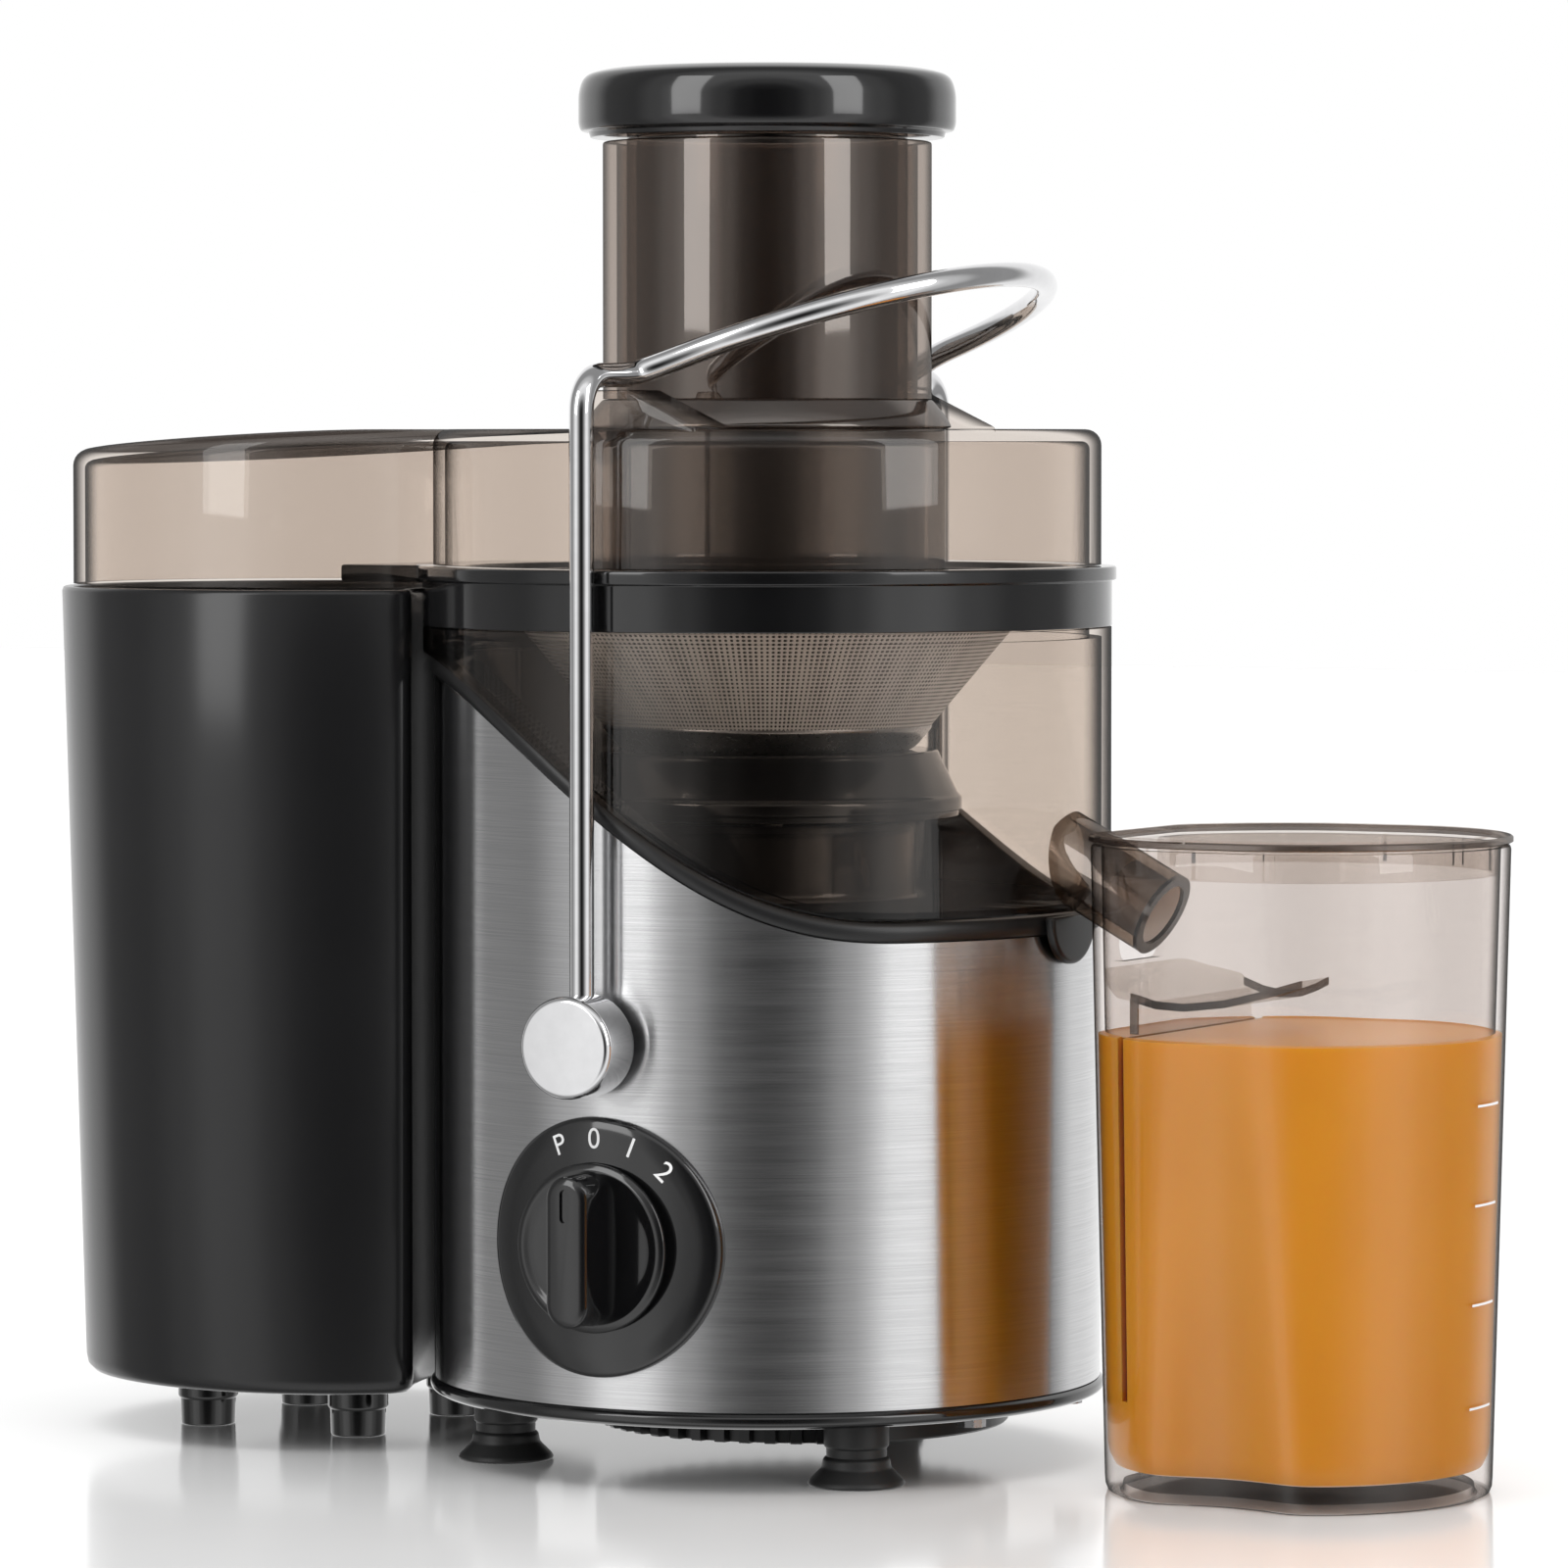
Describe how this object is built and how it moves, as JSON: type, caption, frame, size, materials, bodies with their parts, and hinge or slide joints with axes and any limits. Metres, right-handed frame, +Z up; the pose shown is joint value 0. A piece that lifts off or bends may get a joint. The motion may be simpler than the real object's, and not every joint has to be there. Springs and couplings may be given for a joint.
{
  "type": "centrifugal juicer",
  "caption": "Countertop centrifugal juicer with steel-wrapped motor base, spinning strainer, lid with feed chute and pusher, locking arm, knob, pulp bin and juice jug.",
  "frame": {"origin": "centre of the whole set's footprint at table level, which is also the motor axis", "axes": "+Z up along the motor axis, +X towards the juice jug, -X towards the pulp bin, -Y towards the front with the speed knob"},
  "size_m": [0.398, 0.202, 0.3485],
  "materials": {
    "black_plastic": "satin black",
    "gloss_black": "gloss black",
    "brushed_steel": "brushed round the drum",
    "plain_steel": "plain",
    "strainer_mesh": "fine perforated sheet",
    "chrome": "polished",
    "smoky_plastic": "clear smoky brown-grey plastic",
    "rubber": "matt black",
    "copper": "enamelled copper wire",
    "carbon": "pressed carbon"
  },
  "bodies": {
    "base": {"motor_housing": "black_plastic", "steel_wrap": "brushed_steel", "base_plate": "black_plastic", "vent_ring": "black_plastic", "cord_gland": "rubber", "dial_plate": "gloss_black", "juice_bowl": "smoky_plastic", "bowl_collar": "gloss_black", "lid": "smoky_plastic", "shaft_seal": "rubber", "base_screw_1": "plain_steel", "base_screw_2": "plain_steel", "base_screw_3": "plain_steel", "base_screw_4": "plain_steel", "suction_foot_1": "rubber", "suction_foot_2": "rubber", "suction_foot_3": "rubber", "motor_stator": "plain_steel", "field_coil_front": "copper", "field_coil_rear": "copper", "motor_bracket_low": "plain_steel", "motor_bracket_high": "plain_steel", "bearing_low": "chrome", "bearing_high": "chrome", "rotary_switch": "black_plastic", "emc_capacitor": "black_plastic", "brush_holder_right": "black_plastic", "carbon_brush_right": "carbon", "brush_holder_left": "black_plastic", "carbon_brush_left": "carbon", "motor_mount_1": "rubber", "motor_mount_2": "rubber", "motor_mount_3": "rubber", "interlock_switch_front": "black_plastic", "pivot_pin_front": "plain_steel", "interlock_switch_rear": "black_plastic", "pivot_pin_rear": "plain_steel"},
    "rotor": {"motor_shaft": "plain_steel", "armature": "plain_steel", "commutator": "copper", "cooling_fan": "black_plastic", "drive_coupling": "black_plastic", "strainer_hub": "black_plastic", "strainer_foot_ring": "plain_steel", "strainer_mesh": "strainer_mesh", "strainer_rim": "gloss_black", "grater_disc": "plain_steel", "grater_nut": "plain_steel"},
    "arm": {"locking_arm": "chrome", "pivot_cap_front": "chrome", "pivot_cap_rear": "chrome"},
    "knob": {"speed_knob": "gloss_black", "knob_shaft": "plain_steel"},
    "pusher": {"pusher_tube": "smoky_plastic", "pusher_cap": "gloss_black"},
    "bin": {"pulp_bin": "gloss_black"},
    "jug": {"juice_jug": "smoky_plastic", "froth_separator": "smoky_plastic"},
    "jug_cover": {"jug_lid": "smoky_plastic"}
  },
  "joints": [
    {"name": "rotor_spin", "type": "hinge", "parent": "base", "child": "rotor", "pos_m": [0, 0, 0.15], "axis": [0, 0, 1], "continuous": true},
    {"name": "arm_swing", "type": "hinge", "parent": "base", "child": "arm", "pos_m": [0, 0, 0.109], "axis": [0, 1, 0], "range_deg": [0, 50]},
    {"name": "knob_turn", "type": "hinge", "parent": "base", "child": "knob", "pos_m": [0, -0.09, 0.0595], "axis": [0, 1, 0], "range_deg": [-22, 44]},
    {"name": "pusher_slide", "type": "slide", "parent": "base", "child": "pusher", "axis": [0, 0, 1], "range_m": [0, 0.135]},
    {"name": "bin_slide", "type": "slide", "parent": "base", "child": "bin", "axis": [-1, 0, 0], "range_m": [0, 0.15]},
    {"name": "jug_slide", "type": "slide", "parent": "base", "child": "jug", "axis": [1, 0, 0], "range_m": [0, 0.13]},
    {"name": "jug_lid_lift", "type": "slide", "parent": "jug", "child": "jug_cover", "axis": [0, 0, 1], "range_m": [0, 0.06]}
  ]
}
